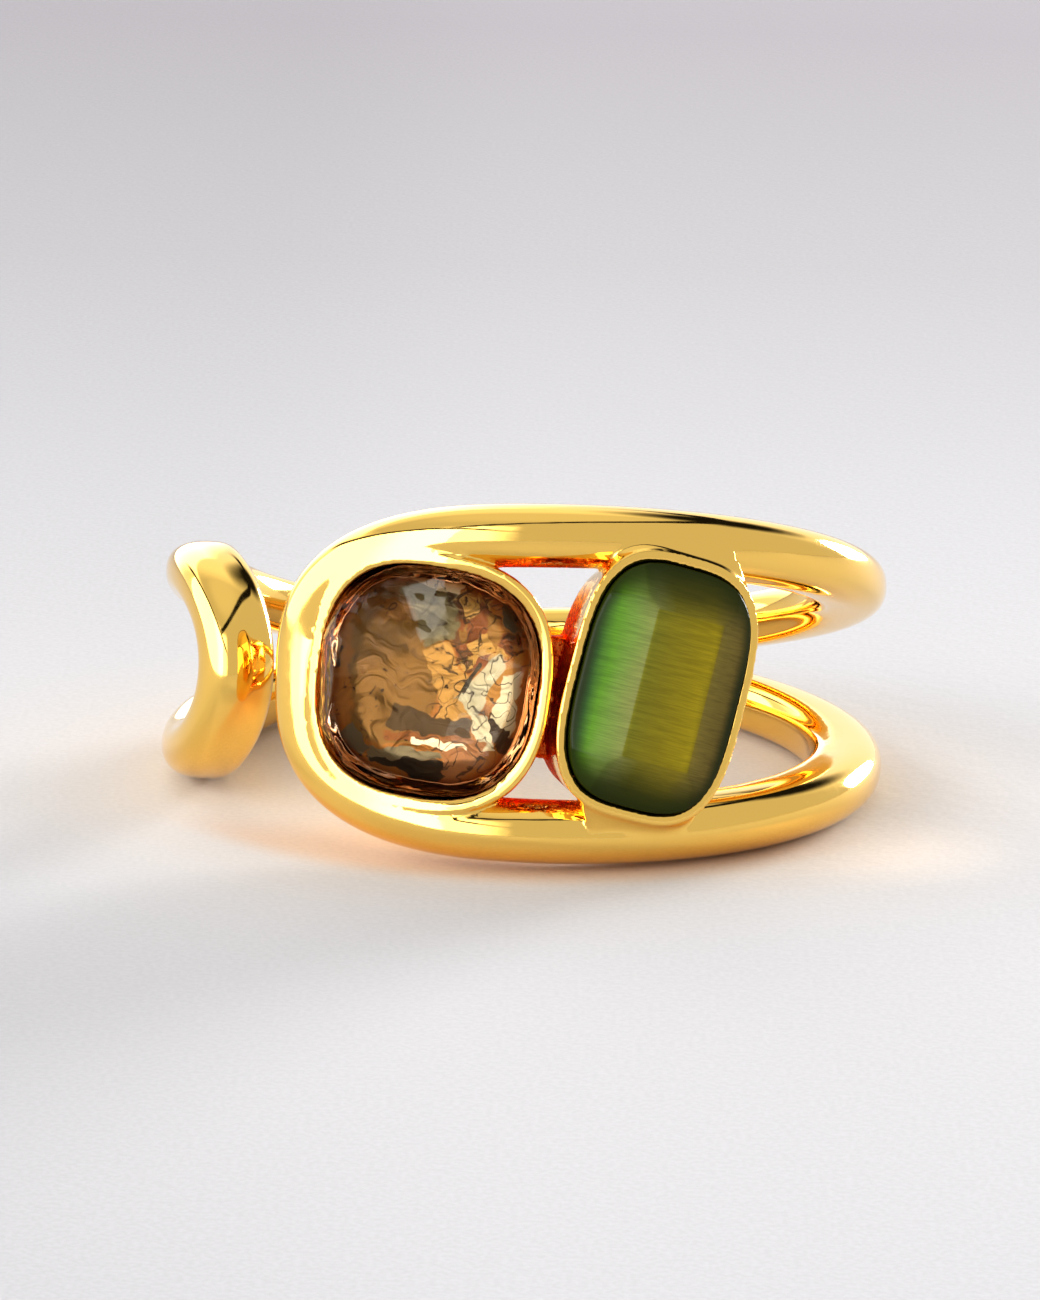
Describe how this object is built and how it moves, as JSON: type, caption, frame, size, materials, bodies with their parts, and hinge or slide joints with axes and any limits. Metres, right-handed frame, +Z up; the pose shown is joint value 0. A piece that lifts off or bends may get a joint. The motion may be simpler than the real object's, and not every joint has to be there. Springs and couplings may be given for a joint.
{
  "type": "wrap ring",
  "caption": "Open gold wrap ring bent from a looped bar, with a smoky cushion-cut stone framed by its larger end and a tall green cat's-eye stone set between the rails.",
  "frame": {"origin": "middle of the ring's outer box, on the surface that it lies on", "axes": "+Z up from that surface; the ring lies on its side on its lower rail, with its stones towards -Y and the top of its finger axis leaning 10.9 degrees towards +Y; +X towards the green stone"},
  "size_m": [0.0216, 0.0224, 0.0103],
  "materials": {
    "gold": "polished yellow gold",
    "smoky_glass": "faceted smoky brown stone over a closed gold back",
    "green_cats_eye": "polished olive green cat's-eye with fine fibres"
  },
  "bodies": {
    "root": {"wrap_band": "gold", "smoky_stone": "smoky_glass", "green_stone": "green_cats_eye"}
  },
  "joints": []
}
